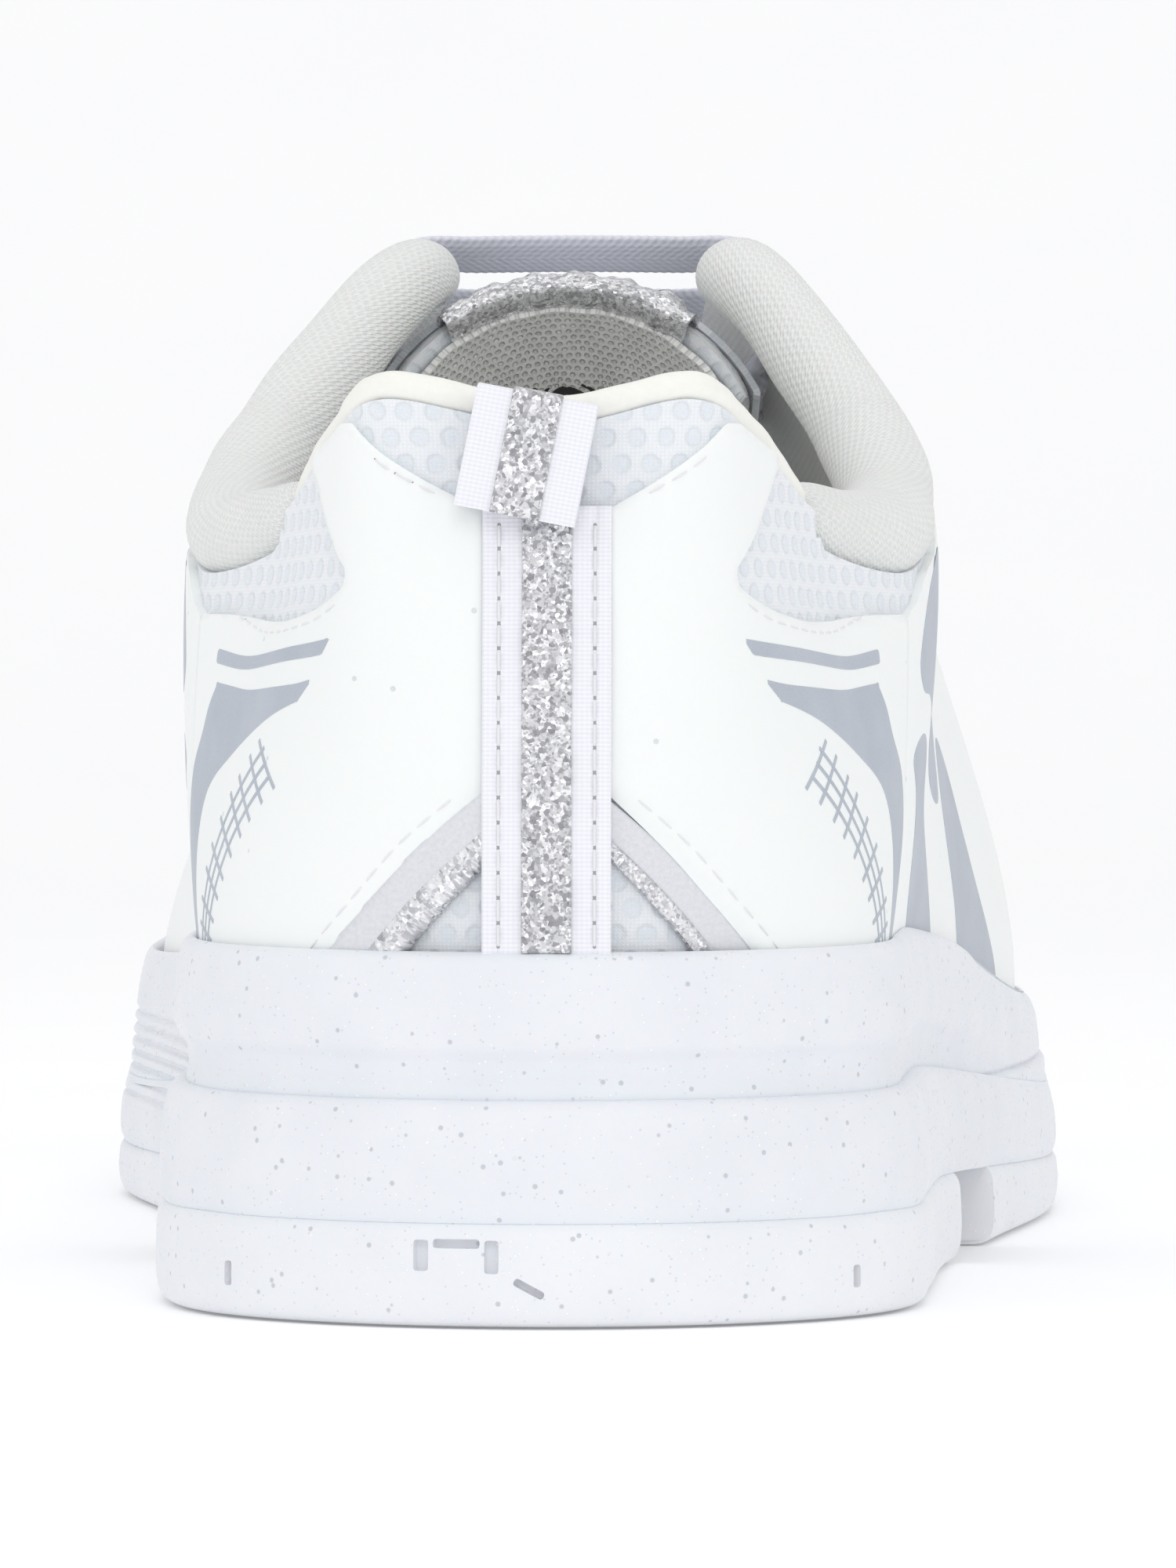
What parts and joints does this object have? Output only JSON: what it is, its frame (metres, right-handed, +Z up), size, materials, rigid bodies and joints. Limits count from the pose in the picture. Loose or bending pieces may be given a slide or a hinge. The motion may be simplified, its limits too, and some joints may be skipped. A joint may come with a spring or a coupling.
{
  "type": "cheer shoe",
  "caption": "Low white cheer shoe for the right foot: cupped foam sole, mesh and synthetic leather upper, silver glitter heel stripe, pull tab, padded tongue and flat lace.",
  "frame": {"origin": "on the ground, on the flat heel tread, 35 mm in front of the back of the sole", "axes": "+Y from heel to toe, +X towards the lateral side, +Z up"},
  "size_m": [0.1047, 0.275, 0.1061],
  "materials": {
    "outsole_rubber": "matte moulded",
    "midsole_foam": "moulded foam with bright flakes",
    "board": "plain",
    "lining_knit": "knit",
    "stiffener": "matte",
    "padding_foam": "open foam",
    "glitter": "silver glitter",
    "webbing": "woven",
    "piping": "bound edge",
    "overlay_leather": "smooth synthetic",
    "spacer_mesh": "round-hole spacer mesh",
    "label_print": "printed",
    "aglet": "clear film",
    "lace": "flat ribbed"
  },
  "bodies": {
    "shoe": {"outsole_heel": "outsole_rubber", "outsole_forefoot": "outsole_rubber", "midsole_wedge": "midsole_foam", "midsole_carrier": "midsole_foam", "strobel_board": "board", "sockliner": "lining_knit", "heel_lining": "lining_knit", "heel_counter": "stiffener", "collar_foam": "padding_foam", "vamp_lining": "lining_knit", "toe_puff": "stiffener", "heel_mesh": "spacer_mesh", "vamp_mesh": "spacer_mesh", "toe_overlay": "overlay_leather", "heel_ribbon": "webbing", "heel_ribbon_glitter": "glitter", "topline_piping": "piping", "quarter_mesh_lateral": "spacer_mesh", "quarter_lining_lateral": "lining_knit", "eyestay_lateral": "overlay_leather", "heel_overlay_lateral": "overlay_leather", "side_overlay_lateral": "overlay_leather", "v_strip_lateral": "glitter", "collar_roll_lateral": "lining_knit", "aglet_lateral": "aglet", "quarter_mesh_medial": "spacer_mesh", "quarter_lining_medial": "lining_knit", "eyestay_medial": "overlay_leather", "heel_overlay_medial": "overlay_leather", "side_overlay_medial": "overlay_leather", "v_strip_medial": "glitter", "collar_roll_medial": "lining_knit", "aglet_medial": "aglet", "lace": "lace"},
    "tongue": {"tongue_face": "spacer_mesh", "tongue_foam": "padding_foam", "tongue_lining": "lining_knit", "tongue_binding": "glitter", "tongue_label": "label_print"},
    "pull_tab": {"pull_tab": "webbing", "pull_tab_glitter": "glitter"}
  },
  "joints": [
    {"name": "tongue_tilt", "type": "hinge", "parent": "shoe", "child": "tongue", "pos_m": [0, 0.154, 0.055], "axis": [1, 0, 0], "range_deg": [0, 12], "stiffness_Nm_per_rad": 0.3, "springref_deg": -3.44},
    {"name": "pull_tab_flip", "type": "hinge", "parent": "shoe", "child": "pull_tab", "pos_m": [-0.0009, -0.027, 0.0885], "axis": [-0.9816, 0.0266, 0.189], "range_deg": [0, 105]}
  ]
}
